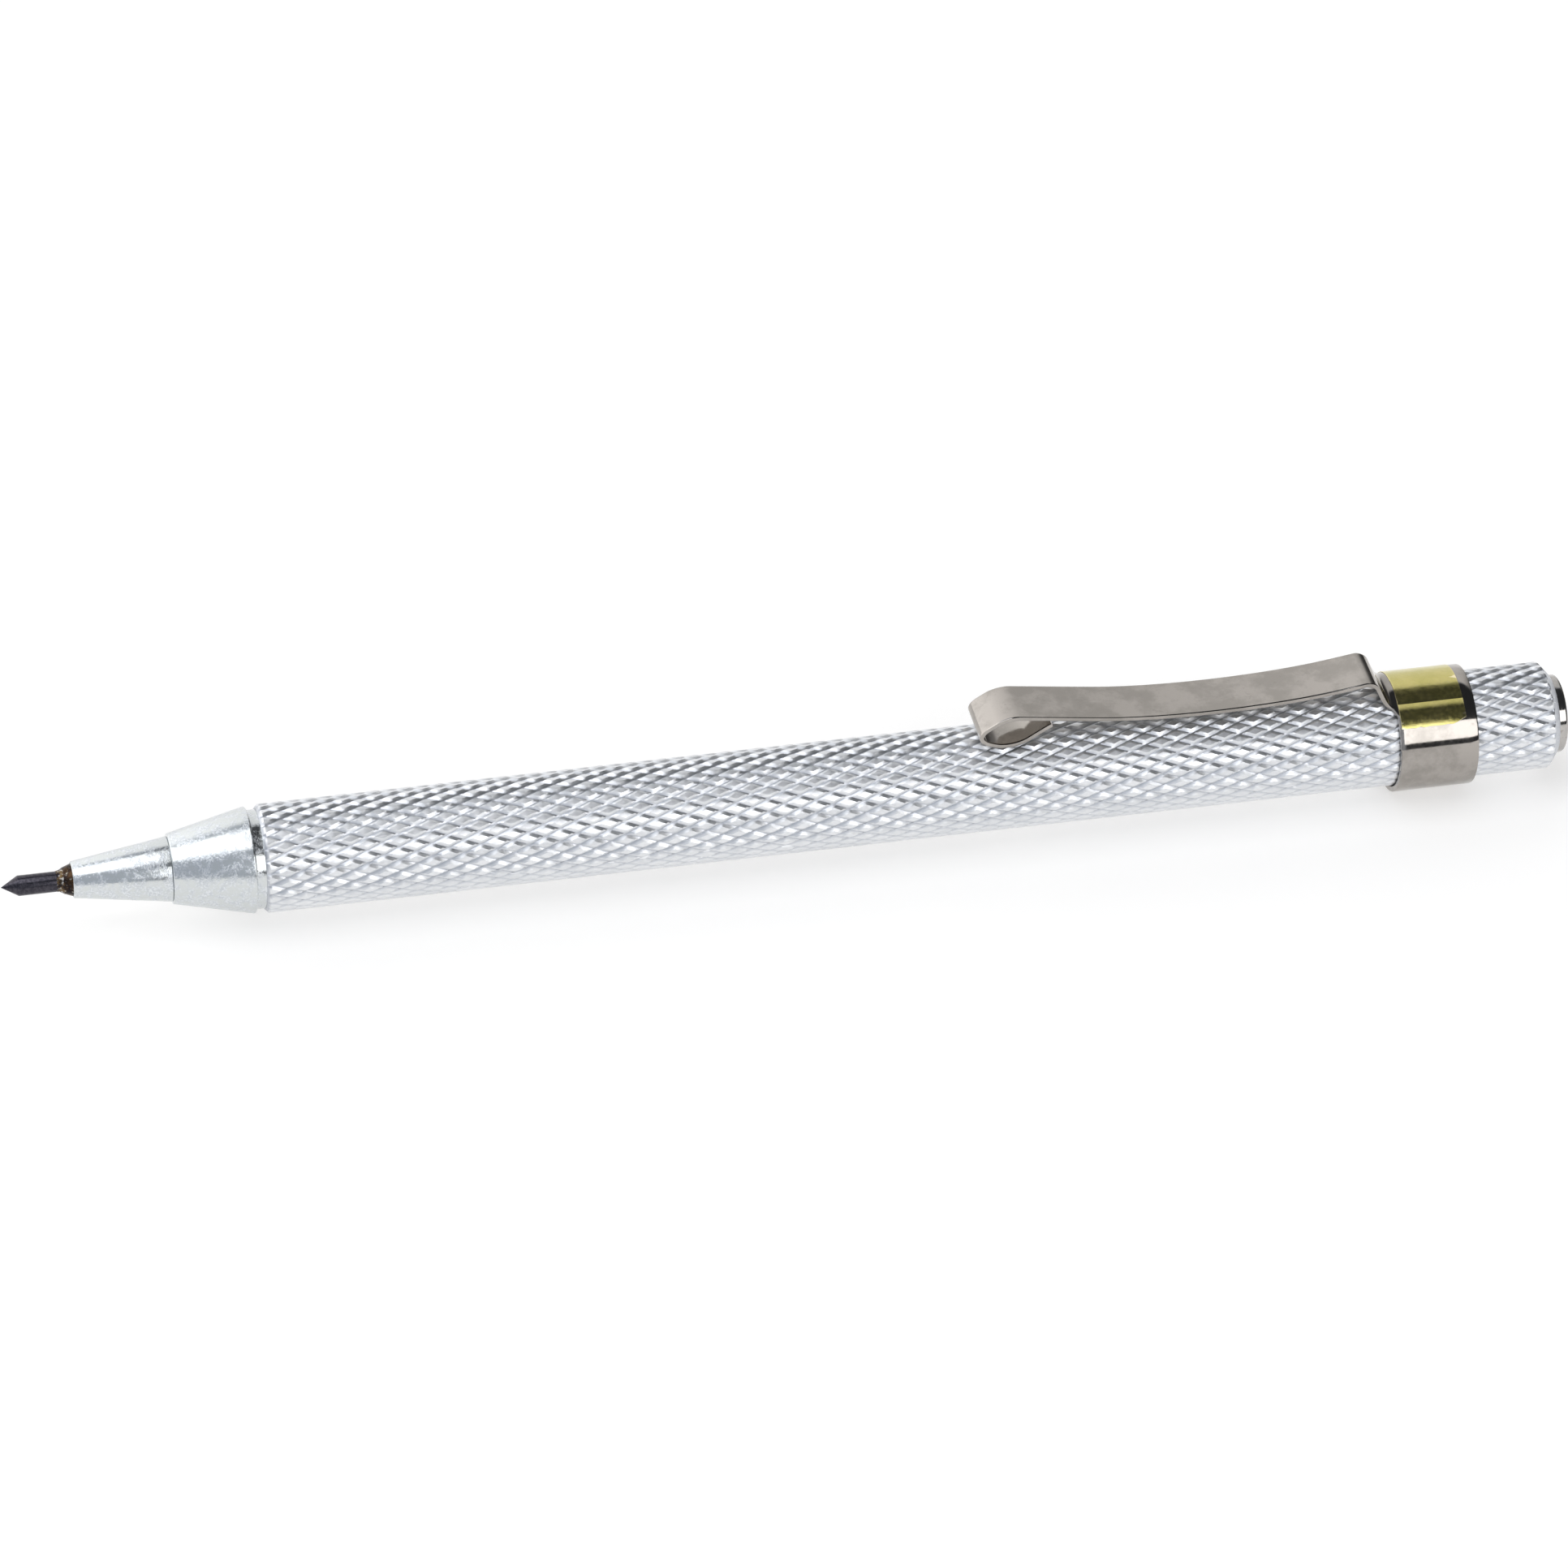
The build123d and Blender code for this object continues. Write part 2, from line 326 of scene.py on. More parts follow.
def make_mottle():
    """Soft blotches, such as oxide, haze or uneven plating, and a finer grain of the same kind."""
    group, given, result = effect_group(
        "mottle", [("Scale", 900.0), ("Low", 0.4), ("High", 0.62)], ["Mask", "Fine"])
    place_in, _ = object_axes(group)
    broad = add(group, "ShaderNodeTexNoise", Detail=5.0, Roughness=0.62)
    link(group, place_in, broad.inputs["Vector"])
    link(group, given.outputs["Scale"], broad.inputs["Scale"])
    fine = add(group, "ShaderNodeTexNoise", Detail=3.0, Roughness=0.6)
    link(group, place_in, fine.inputs["Vector"])
    link(group, times(group, given.outputs["Scale"], FINE_GRAIN), fine.inputs["Scale"])
    mask = remap(group, broad.outputs["Fac"], given.outputs["Low"], given.outputs["High"])
    link(group, mask, result.inputs["Mask"])
    link(group, fine.outputs["Fac"], result.inputs["Fine"])
    return group


def make_scratches():
    """Sparse hairlines, drawn out along the X axis or across it."""
    group, given, result = effect_group(
        "scratches", [("Along", 60.0), ("Across", 5200.0), ("Amount", 0.5)], ["Mask"])
    _, axes = object_axes(group)
    spread = add(group, "ShaderNodeCombineXYZ")
    for axis, stretch in (("X", "Along"), ("Y", "Across"), ("Z", "Across")):
        link(group, times(group, axes[axis], given.outputs[stretch]), spread.inputs[axis])
    lines = add(group, "ShaderNodeTexNoise", Scale=1.0, Detail=2.0, Roughness=0.5, Distortion=0.4)
    link(group, spread.outputs[0], lines.inputs["Vector"])
    amount = times(group, given.outputs["Amount"], 0.2)
    low = math_node(group, "SUBTRACT", 0.78, amount)
    mask = remap(group, lines.outputs["Fac"], low, plus(group, low, 0.05))
    link(group, mask, result.inputs["Mask"])
    return group


def make_painted_groove_shade():
    """How deep a point lies below the crests of a round piece: 1 in the grooves, 0 on them; it
    drives painted shade in the grooves.
    """
    group, given, result = effect_group(
        "painted_groove_shade", [("Root radius", 0.0045), ("Crest radius", 0.00476)], ["Mask"])
    place_in, _ = object_axes(group)
    flat = add(group, "ShaderNodeVectorMath", operation="MULTIPLY")
    flat.inputs[1].default_value = (0.0, 1.0, 1.0)
    link(group, place_in, flat.inputs[0])
    reach = add(group, "ShaderNodeVectorMath", operation="LENGTH")
    link(group, flat.outputs["Vector"], reach.inputs[0])
    mask = remap(group, reach.outputs["Value"], given.outputs["Root radius"],
                 given.outputs["Crest radius"], 1.0, 0.0)
    link(group, mask, result.inputs["Mask"])
    return group


def make_edge_wear_and_highlight():
    """Brighter edges, where the surface stands out sharply: rubbed wear on the clip and magnet, a
    painted highlight on the foil's cut edge.
    """
    group, given, result = effect_group("edge_wear_and_highlight", [("Low", 0.52), ("High", 0.62)], ["Mask"])
    shape = add(group, "ShaderNodeNewGeometry")
    mask = remap(group, shape.outputs["Pointiness"], given.outputs["Low"], given.outputs["High"])
    link(group, mask, result.inputs["Mask"])
    return group


turning_marks = make_turning_marks()
mottle = make_mottle()
scratches = make_scratches()
painted_groove_shade = make_painted_groove_shade()
edge_wear_and_highlight = make_edge_wear_and_highlight()

# ---------------------------------------------------------------- finishes

KNURL_DEPTH = 0.22 * MM
FOLD_START = math.radians(116.5)
FOLD_END = math.radians(124.0)
FOLD_HEIGHT = 0.22 * MM
FOLD_LIFT = 0.07 * MM
CREASE_HEIGHT = 0.004 * MM


def vary_roughness(tree, shader, pattern, low, high):
    """Roughness between two values, over the middle of a noise pattern's range."""
    link(tree, remap(tree, pattern, 0.3, 0.7, low, high), shader.inputs["Roughness"])


def knurled_aluminium():
    """Cut aluminium, cloudy with oxide, with painted shade darkening it down in the grooves."""
    material, tree, shader = metal("knurled_aluminium", Metallic=0.9)
    shade_in_grooves = place(tree, painted_groove_shade, Root_radius=BARREL_RADIUS - KNURL_DEPTH,
                  Crest_radius=BARREL_RADIUS - 0.35 * KNURL_DEPTH)
    blotch = place(tree, mottle, Scale=420.0, Low=0.35, High=0.7)
    hair = place(tree, scratches, Along=220.0, Across=2600.0, Amount=0.55)
    bright = mix_colour(tree, blotch.outputs["Mask"], (0.81, 0.82, 0.835), (0.73, 0.745, 0.765))
    # Painted shade: the colour darkens down in the grooves of the knurl.
    shaded_in_grooves = mix_colour(tree, shade_in_grooves.outputs["Mask"], bright, (0.57, 0.59, 0.63))
    worn = mix_colour(tree, hair.outputs["Mask"], shaded_in_grooves, (0.90, 0.91, 0.93))
    link(tree, worn, shader.inputs["Base Color"])
    vary_roughness(tree, shader, blotch.outputs["Fine"], 0.30, 0.42)
    bump(tree, shader, blotch.outputs["Fine"], 0.010 * MM, 0.6)
    return material


def polished_aluminium():
    """Turned and polished, with a fine bright haze in patches."""
    material, tree, shader = metal("polished_aluminium", Anisotropic=0.35)
    marks = place(tree, turning_marks, Rings_per_metre=16000.0, Wander=0.6)
    haze = place(tree, mottle, Scale=1300.0, Low=0.40, High=0.62)
    pits = place(tree, mottle, Scale=5200.0, Low=0.42, High=0.62)
    base = mix_colour(tree, haze.outputs["Mask"], (0.63, 0.655, 0.655), (0.57, 0.60, 0.63))
    speckle = times(tree, haze.outputs["Mask"], pits.outputs["Mask"])
    base = mix_colour(tree, speckle, base, (0.86, 0.88, 0.90), share=0.55)
    link(tree, base, shader.inputs["Base Color"])
    rough = plus(tree, remap(tree, haze.outputs["Mask"], 0.0, 1.0, 0.15, 0.24),
                 remap(tree, marks.outputs["Mask"], 0.3, 0.7, -0.02, 0.05))
    link(tree, rough, shader.inputs["Roughness"])
    height = plus(tree, times(tree, marks.outputs["Mask"], 0.25), speckle)
    bump(tree, shader, height, 0.0070 * MM, 0.8)
    return material


def nickel_spring_steel():
    """Warm bright nickel on spring strip, with faint clouding and hairlines."""
    material, tree, shader = metal("nickel_spring_steel")
    cloud = place(tree, mottle, Scale=330.0, Low=0.40, High=0.62)
    spots = place(tree, mottle, Scale=1500.0, Low=0.60, High=0.70)
    hair = place(tree, scratches, Along=120.0, Across=3800.0, Amount=0.35)
    rub = place(tree, edge_wear_and_highlight, Low=0.53, High=0.66)
    base = mix_colour(tree, cloud.outputs["Mask"], (0.400, 0.373, 0.345), (0.318, 0.297, 0.273))
    base = mix_colour(tree, spots.outputs["Mask"], base, (0.27, 0.25, 0.23), share=0.35)
    base = mix_colour(tree, hair.outputs["Mask"], base, (0.50, 0.48, 0.45), share=0.25)
    base = mix_colour(tree, rub.outputs["Mask"], base, (0.60, 0.57, 0.53), share=0.5)
    link(tree, base, shader.inputs["Base Color"])
    rough = plus(tree, remap(tree, cloud.outputs["Fine"], 0.3, 0.7, 0.07, 0.12),
                 times(tree, hair.outputs["Mask"], 0.10))
    link(tree, rough, shader.inputs["Roughness"])
    bump(tree, shader, cloud.outputs["Fine"], 0.0012 * MM, 0.5)
    return material


def metallised_foil():
    """Thin yellow-green metallised film with one fold, soft creases and a painted highlight along
    its cut edge.
    """
    material, tree, shader = metal("metallised_foil", Coat_Weight=0.3, Coat_Roughness=0.05)
    crease = place(tree, mottle, Scale=420.0, Low=0.35, High=0.65)
    dust = place(tree, mottle, Scale=2600.0, Low=0.60, High=0.68)
    cut_edge_highlight = place(tree, edge_wear_and_highlight, Low=0.53, High=0.60)
    base = mix_colour(tree, crease.outputs["Mask"], (0.60, 0.53, 0.20), (0.53, 0.48, 0.16))
    base = mix_colour(tree, dust.outputs["Mask"], base, (0.66, 0.62, 0.36), share=0.3)
    # Painted highlight: the film's cut edge is made brighter, standing in for light caught on its
    # thickness.
    base = mix_colour(tree, cut_edge_highlight.outputs["Mask"], base, (0.92, 0.82, 0.52))
    link(tree, base, shader.inputs["Base Color"])
    vary_roughness(tree, shader, crease.outputs["Fine"], 0.15, 0.23)
    _, axes = object_axes(tree)
    angle = math_node(tree, "ARCTAN2", axes["Z"], axes["Y"])
    fold = remap(tree, angle, FOLD_START, FOLD_END, smooth=False)
    creased = times(tree, crease.outputs["Mask"], CREASE_HEIGHT / FOLD_HEIGHT)
    bump(tree, shader, plus(tree, fold, creased), FOLD_HEIGHT)
    return material


def nickel_magnet():
    """Nickel plate on a sintered magnet: bright, slightly uneven, rubbed at the rim."""
    material, tree, shader = metal("nickel_magnet")
    plating = place(tree, mottle, Scale=700.0, Low=0.38, High=0.62)
    spots = place(tree, mottle, Scale=2400.0, Low=0.62, High=0.70)
    rub = place(tree, edge_wear_and_highlight, Low=0.52, High=0.60)
    base = mix_colour(tree, plating.outputs["Mask"], (0.50, 0.48, 0.46), (0.42, 0.405, 0.39))
    base = mix_colour(tree, spots.outputs["Mask"], base, (0.24, 0.22, 0.20), share=0.5)
    base = mix_colour(tree, rub.outputs["Mask"], base, (0.68, 0.66, 0.63), share=0.4)
    link(tree, base, shader.inputs["Base Color"])
    vary_roughness(tree, shader, plating.outputs["Fine"], 0.07, 0.14)
    bump(tree, shader, plating.outputs["Fine"], 0.003 * MM, 0.6)
    return material


def heat_stained_steel():
    """Ground steel, blued and browned by the brazing heat at its front end only."""
    material, tree, shader = metal("heat_stained_steel")
    marks = place(tree, turning_marks, Rings_per_metre=14000.0, Wander=0.4)
    stain = place(tree, mottle, Scale=1700.0, Low=0.36, High=0.66)
    painted_glint_patches = place(tree, mottle, Scale=2700.0, Low=0.55, High=0.66)
    _, axes = object_axes(tree)
    station = plus(tree, axes["X"], times(tree, stain.outputs["Fine"], 0.9 * MM))
    heated = remap(tree, station, MOUTH + 1.2 * MM, MOUTH + 4.2 * MM, 1.0, 0.0)
    straw = remap(tree, station, MOUTH + 3.0 * MM, MOUTH + 7.0 * MM, 1.0, 0.0)
    plain = mix_colour(tree, marks.outputs["Mask"], (0.42, 0.41, 0.40), (0.50, 0.49, 0.48))
    base = mix_colour(tree, straw, plain, (0.36, 0.27, 0.15))
    burnt = mix_colour(tree, stain.outputs["Mask"], (0.016, 0.013, 0.015), (0.080, 0.046, 0.024))
    # Painted highlight: pale patches in the heat-stained zone stand in for the overhead light's
    # reflection.
    burnt = mix_colour(tree, painted_glint_patches.outputs["Mask"], burnt, (0.36, 0.34, 0.29))
    base = mix_colour(tree, heated, base, burnt)
    link(tree, base, shader.inputs["Base Color"])
    vary_roughness(tree, shader, stain.outputs["Fine"], 0.24, 0.42)
    bump(tree, shader, marks.outputs["Mask"], 0.0022 * MM, 0.7)
    return material


def smoky_braze():
    """Braze alloy drawn up round the rod, with brassy patches and pale patches of painted
    highlight.
    """
    material, tree, shader = metal("smoky_braze")
    patches = place(tree, mottle, Scale=2300.0, Low=0.42, High=0.62)
    painted_glint_patches = place(tree, mottle, Scale=3100.0, Low=0.53, High=0.62)
    base = mix_colour(tree, patches.outputs["Mask"], (0.020, 0.018, 0.022), (0.130, 0.085, 0.040))
    # Painted highlight: pale patches stand in for the overhead light's reflection along the
    # collar.
    base = mix_colour(tree, painted_glint_patches.outputs["Mask"], base, (0.52, 0.50, 0.47))
    link(tree, base, shader.inputs["Base Color"])
    rough = remap(tree, painted_glint_patches.outputs["Mask"], 0.0, 1.0, 0.28, 0.55)
    link(tree, rough, shader.inputs["Roughness"])
    bump(tree, shader, patches.outputs["Fine"], 0.02 * MM, 0.8)
    return material


def ground_carbide():
    """Dense grey-blue carbide, ground round, with brighter rings on the cone."""
    material, tree, shader = metal("ground_carbide")
    marks = place(tree, turning_marks, Rings_per_metre=22000.0, Wander=0.5)
    grain = place(tree, mottle, Scale=5200.0, Low=0.42, High=0.60)
    base = mix_colour(tree, grain.outputs["Mask"], (0.024, 0.025, 0.036), (0.060, 0.059, 0.074))
    base = mix_colour(tree, marks.outputs["Mask"], base, (0.130, 0.112, 0.118), share=0.35)
    link(tree, base, shader.inputs["Base Color"])
    vary_roughness(tree, shader, marks.outputs["Mask"], 0.14, 0.28)
    bump(tree, shader, marks.outputs["Mask"], 0.0030 * MM, 0.8)
    return material


def turned_brass():
    """Brass off the lathe, tarnished in patches."""
    material, tree, shader = metal("turned_brass")
    marks = place(tree, turning_marks, Rings_per_metre=12000.0, Wander=0.3)
    tarnish = place(tree, mottle, Scale=800.0, Low=0.4, High=0.65)
    base = mix_colour(tree, tarnish.outputs["Mask"], (0.72, 0.52, 0.22), (0.52, 0.36, 0.15))
    link(tree, base, shader.inputs["Base Color"])
    vary_roughness(tree, shader, marks.outputs["Mask"], 0.20, 0.34)
    bump(tree, shader, marks.outputs["Mask"], 0.003 * MM, 0.8)
    return material


# ---------------------------------------------------------------- knurled barrel

KNURL_STARTS = 26
KNURL_PITCH = 2.83 * MM
CREST_GRID = 6
FLANK_SHARE = 0.27
SHALLOW_GROOVE = 0.18
CREST_CROWN = 0.30
KNURL_PHASE = 0.37
TAIL_CHAMFER_LENGTH = 0.8 * MM
TAIL_CHAMFER_DEPTH = 1.0025 * MM
TAIL_CHAMFER_CUTS = (0.12, 0.25, 0.4, 0.6, 0.8)
FRONT_CHAMFER = 0.3 * MM
SOCKET_END_ROOM = 0.3 * MM
MAGNET_SEAT_GAP = 0.025 * MM
BORE_RADIUS = 1.75 * MM
SOCKET_RADIUS = 3.28 * MM


def knurl_height(across, along):
    """Height of one diamond over its grooves, from 0 to 1; one set of grooves is cut deeper."""
    deep = min(1.0, min(across, 1 - across) / FLANK_SHARE)
    shallow = min(1.0, min(along, 1 - along) / FLANK_SHARE)
    crown = 1 - CREST_CROWN * (1 - 16 * across * (1 - across) * along * (1 - along))
    return min(deep, SHALLOW_GROOVE + (1 - SHALLOW_GROOVE) * shallow) * crown


def build_knurled_barrel():
    """One diamond, copied along a sector, wrapped to the barrel and spun round it."""
    sector = math.tau / KNURL_STARTS
    bm = bmesh.new()
    bmesh.ops.create_grid(bm, x_segments=CREST_GRID, y_segments=CREST_GRID, size=0.5)
    stops = [0.0, FLANK_SHARE / 2, FLANK_SHARE, 0.5, 1 - FLANK_SHARE, 1 - FLANK_SHARE / 2, 1.0]
    for v in bm.verts:
        across = stops[round((v.co.x + 0.5) * CREST_GRID)]
        along = stops[round((v.co.y + 0.5) * CREST_GRID)]
        v.co = Vector((
            KNURL_PITCH * (across + along - 1) / 2,
            sector * (across - along) / 2,
            knurl_height(across, along),
        ))
    first = everything(bm)
    rows = math.ceil((BARREL_REAR - BARREL_FRONT) / KNURL_PITCH) * 2 + 3
    start = BARREL_FRONT - KNURL_PHASE * KNURL_PITCH
    for row in range(1, rows):
        copy = bmesh.ops.duplicate(bm, geom=first)["geom"]
        shift = (start + row * KNURL_PITCH / 2, (row % 2) * sector / 2, 0.0)
        bmesh.ops.translate(bm, verts=verts_in(copy), vec=shift)
    bmesh.ops.translate(bm, verts=verts_in(first), vec=(start, 0.0, 0.0))
    for v in bm.verts:
        radius = BARREL_RADIUS - KNURL_DEPTH * (1 - v.co.z)
        angle = v.co.y
        v.co = Vector((v.co.x, -radius * math.sin(angle), radius * math.cos(angle)))
    bmesh.ops.spin(bm, geom=everything(bm), cent=(0, 0, 0), axis=(1, 0, 0), angle=math.tau,
                   steps=KNURL_STARTS, use_duplicate=True)
    bmesh.ops.remove_doubles(bm, verts=bm.verts, dist=TOUCH)
    trim_to_length(bm)
    line_the_bore(bm)
    return bm


def trim_to_length(bm):
    """Cuts the knurled skin to the barrel's length and turns its two chamfers."""
    chamfer_start = BARREL_REAR - TAIL_CHAMFER_LENGTH
    cuts = [BARREL_FRONT + FRONT_CHAMFER, chamfer_start]
    cuts += [chamfer_start + share * TAIL_CHAMFER_LENGTH for share in TAIL_CHAMFER_CUTS]
    for station in cuts:
        bmesh.ops.bisect_plane(bm, geom=everything(bm), dist=FINE, plane_co=(station, 0, 0),
                               plane_no=(1, 0, 0))
    for station, away in ((BARREL_FRONT, -1), (BARREL_REAR, 1)):
        bmesh.ops.bisect_plane(bm, geom=everything(bm), dist=FINE, plane_co=(station, 0, 0),
                               plane_no=(away, 0, 0), clear_outer=True)
    slope = TAIL_CHAMFER_DEPTH / TAIL_CHAMFER_LENGTH
    for v in bm.verts:
        reach = reach_of(v)
        limit = min(
            BARREL_RADIUS - max(0.0, v.co.x - chamfer_start) * slope,
            BARREL_RADIUS - max(0.0, BARREL_FRONT + FRONT_CHAMFER - v.co.x),
        )
        if reach > limit:
            move_out(v, limit / reach)


def line_the_bore(bm):
    """Closes the skin with its end faces, the front socket, the magnet's seat and the bore."""
    middle = (BARREL_FRONT + BARREL_REAR) / 2
    open_edges = [edge for edge in bm.edges if edge.is_boundary]
    front = [edge for edge in open_edges if edge.verts[0].co.x < middle]
    rear = [edge for edge in open_edges if edge.verts[0].co.x > middle]
    socket_floor = body_high.x + SOCKET_END_ROOM
    front = ring_of(bm, front, BARREL_FRONT, SOCKET_RADIUS)
    front = ring_of(bm, front, socket_floor, SOCKET_RADIUS)
    front = ring_of(bm, front, socket_floor, BORE_RADIUS)
    seat_radius = MAGNET_RADIUS + MAGNET_SEAT_GAP
    rear = ring_of(bm, rear, BARREL_REAR, seat_radius)
    rear = ring_of(bm, rear, magnet_low.x, seat_radius)
    rear = ring_of(bm, rear, magnet_low.x, BORE_RADIUS)
    bmesh.ops.bridge_loops(bm, edges=front + rear)
    bmesh.ops.recalc_face_normals(bm, faces=bm.faces)


# ---------------------------------------------------------------- nose, point and magnet

RELIEF_WIDTH = 0.85 * MM
RELIEF_DEPTH = 0.4375 * MM
THREAD_BORE_RADIUS = 2.45 * MM
THREAD_BORE_LENGTH = 5.0 * MM
COLLET_BORE_RADIUS = 2.24 * MM
REAR_WALL = 3.0 * MM
REAR_HOLE_RADIUS = 1.6 * MM
BODY_CONE_SETBACK = 0.0475 * MM
BODY_FRONT_RADIUS = 3.075 * MM
CAP_REAR_RADIUS = 2.86 * MM
CAP_FRONT_RADIUS = 1.60 * MM
CAP_MOUTH_RADIUS = 1.45 * MM
CAP_MOUTH_DEPTH = 11.9 * MM
SPIGOT_CORE_RADIUS = 2.31 * MM
THREAD_CREST_RADIUS = 2.395 * MM
THREAD_PITCH = 0.6 * MM
THREAD_TURNS = 6
THREAD_STEPS_A_TURN = 40
THREAD_START = 0.45 * MM
STUB_GAP = 0.02 * MM
CAP_TAPER_LENGTH = 1.2 * MM
CAP_TAPER_DEPTH = 0.3 * MM
SHANK_FRONT_RADIUS = 1.15 * MM
SHANK_SOCKET_DEPTH = 0.6 * MM
SHANK_END_CHAMFER = 0.3 * MM
ROD_GAP = 0.01 * MM
ROD_CONE_LENGTH = 1.47 * MM
ROD_SEATED_LENGTH = 0.58 * MM
BRAZE_EDGE = 0.02 * MM
BRAZE_HOLLOWNESS = 1.8
BRAZE_RIPPLE = 0.018
MAGNET_ROUNDING = 0.25 * MM


def build_chuck_body():
    """Rear cone of the nose with its relief groove, stub, thread bore and collet bore."""
    relief_front = BARREL_FRONT - RELIEF_WIDTH
    relief_radius = BARREL_RADIUS - RELIEF_DEPTH
    cone_rear_radius = BARREL_RADIUS - BODY_CONE_SETBACK
    floor = PARTING + THREAD_BORE_LENGTH
    step = body_high.x - REAR_WALL
    profile = [
        (body_high.x, REAR_HOLE_RADIUS),
        (body_high.x, SOCKET_RADIUS - STUB_GAP),
        (BARREL_FRONT + STUB_GAP, SOCKET_RADIUS - STUB_GAP),
        (BARREL_FRONT + STUB_GAP, relief_radius),
        (relief_front, relief_radius),
        (relief_front, cone_rear_radius),
        (PARTING, BODY_FRONT_RADIUS),
        (PARTING, THREAD_BORE_RADIUS),
        (floor, THREAD_BORE_RADIUS),
        (floor, COLLET_BORE_RADIUS),
        (step, COLLET_BORE_RADIUS),
        (step, REAR_HOLE_RADIUS),
    ]
    bm = turned(profile, closed=True)
    round_corners(bm, [
        (relief_front, cone_rear_radius, 0.20 * MM),
        (PARTING, BODY_FRONT_RADIUS, 0.10 * MM),
        (PARTING, THREAD_BORE_RADIUS, 0.10 * MM),
        (relief_front, relief_radius, 0.08 * MM),
    ])
    return bm


def build_chuck_cap():
    """Front cone with its mouth, and behind it the spigot with a raised screw thread."""
    inner_shoulder = MOUTH + CAP_MOUTH_DEPTH
    profile = [
        (MOUTH, CAP_MOUTH_RADIUS),
        (MOUTH, CAP_FRONT_RADIUS),
        (PARTING, CAP_REAR_RADIUS),
        (PARTING, SPIGOT_CORE_RADIUS),
        (SPIGOT_REAR, SPIGOT_CORE_RADIUS),
        (SPIGOT_REAR, COLLET_BORE_RADIUS),
        (inner_shoulder, COLLET_BORE_RADIUS),
        (inner_shoulder - CAP_TAPER_LENGTH, CAP_MOUTH_RADIUS + CAP_TAPER_DEPTH),
        (inner_shoulder - CAP_TAPER_LENGTH, CAP_MOUTH_RADIUS),
    ]
    bm = turned(profile, closed=True)
    round_corners(bm, [
        (MOUTH, CAP_FRONT_RADIUS, 0.11 * MM),
        (MOUTH, CAP_MOUTH_RADIUS, 0.03 * MM),
        (PARTING, CAP_REAR_RADIUS, 0.10 * MM),
    ])
    add_thread(bm)
    return bm


def add_thread(bm):
    """A ridge of triangular section, spun up the spigot with a rise of one pitch a turn."""
    steps = THREAD_TURNS * THREAD_STEPS_A_TURN
    root = SPIGOT_CORE_RADIUS - 0.02 * MM
    start = PARTING + THREAD_START
    section = [(start, root), (start + 0.21 * MM, THREAD_CREST_RADIUS),
               (start + 0.27 * MM, THREAD_CREST_RADIUS), (start + 0.48 * MM, root)]
    points = [bm.verts.new((x, 0.0, radius)) for x, radius in section]
    lines = [bm.edges.new(pair) for pair in zip(points, points[1:] + points[:1])]
    end_cap = bm.faces.new(points)
    far = bmesh.ops.spin(bm, geom=points + lines, cent=(0, 0, 0), axis=(1, 0, 0),
                         dvec=(THREAD_PITCH * THREAD_TURNS / steps, 0, 0),
                         angle=math.tau * THREAD_TURNS, steps=steps)
    last = [g for g in far["geom_last"] if isinstance(g, bmesh.types.BMEdge)]
    bmesh.ops.edgeloop_fill(bm, edges=last)
    waiting = [end_cap]
    ridge = {end_cap}
    while waiting:
        for edge in waiting.pop().edges:
            for near in edge.link_faces:
                if near not in ridge:
                    ridge.add(near)
                    waiting.append(near)
    bmesh.ops.recalc_face_normals(bm, faces=list(ridge))


def build_point_shank():
    profile = [
        (shank_low.x + SHANK_SOCKET_DEPTH, 0.0),
        (shank_low.x + SHANK_SOCKET_DEPTH, ROD_RADIUS + ROD_GAP),
        (shank_low.x, ROD_RADIUS + ROD_GAP),
        (shank_low.x, SHANK_FRONT_RADIUS),
        (MOUTH, SHANK_RADIUS),
        (shank_high.x - SHANK_END_CHAMFER, SHANK_RADIUS),
        (shank_high.x, SHANK_RADIUS - SHANK_END_CHAMFER),
        (shank_high.x, 0.0),
    ]
    bm = turned(profile, steps=64)
    round_corners(bm, [(MOUTH, SHANK_RADIUS, 0.12 * MM)])
    return bm


def build_braze():
    """Hollow-faced collar from the shank's cone to the rod, with a faintly uneven skin."""
    end_radius = ROD_RADIUS + BRAZE_EDGE
    rise = SHANK_FRONT_RADIUS - end_radius
    length = shank_low.x - braze_low.x
    profile = [(shank_low.x + BRAZE_EDGE, ROD_RADIUS)]
    profile += [
        (shank_low.x - share * length, end_radius + rise * (1 - share) ** BRAZE_HOLLOWNESS)
        for share in (0.0, 0.15, 0.3, 0.45, 0.6, 0.8, 1.0)
    ]
    profile += [(braze_low.x, ROD_RADIUS)]
    bm = turned(profile, closed=True, steps=64)
    for v in bm.verts:
        if reach_of(v) > end_radius + TOUCH:
            move_out(v, 1 + BRAZE_RIPPLE * (noise.noise(v.co * RAGGED_SCALE) - 0.25))
    return bm


def build_carbide_tip():
    cone_base = tip_low.x + ROD_CONE_LENGTH
    profile = [
        (tip_low.x, 0.0),
        (tip_low.x + 0.012 * MM, 0.022 * MM),
        (tip_low.x + 0.040 * MM, 0.040 * MM),
        (cone_base, ROD_RADIUS),
        (shank_low.x + ROD_SEATED_LENGTH, ROD_RADIUS),
        (shank_low.x + ROD_SEATED_LENGTH, 0.0),
    ]
    bm = turned(profile, steps=64)
    round_corners(bm, [(cone_base, ROD_RADIUS, 0.03 * MM)], segments=2)
    return bm


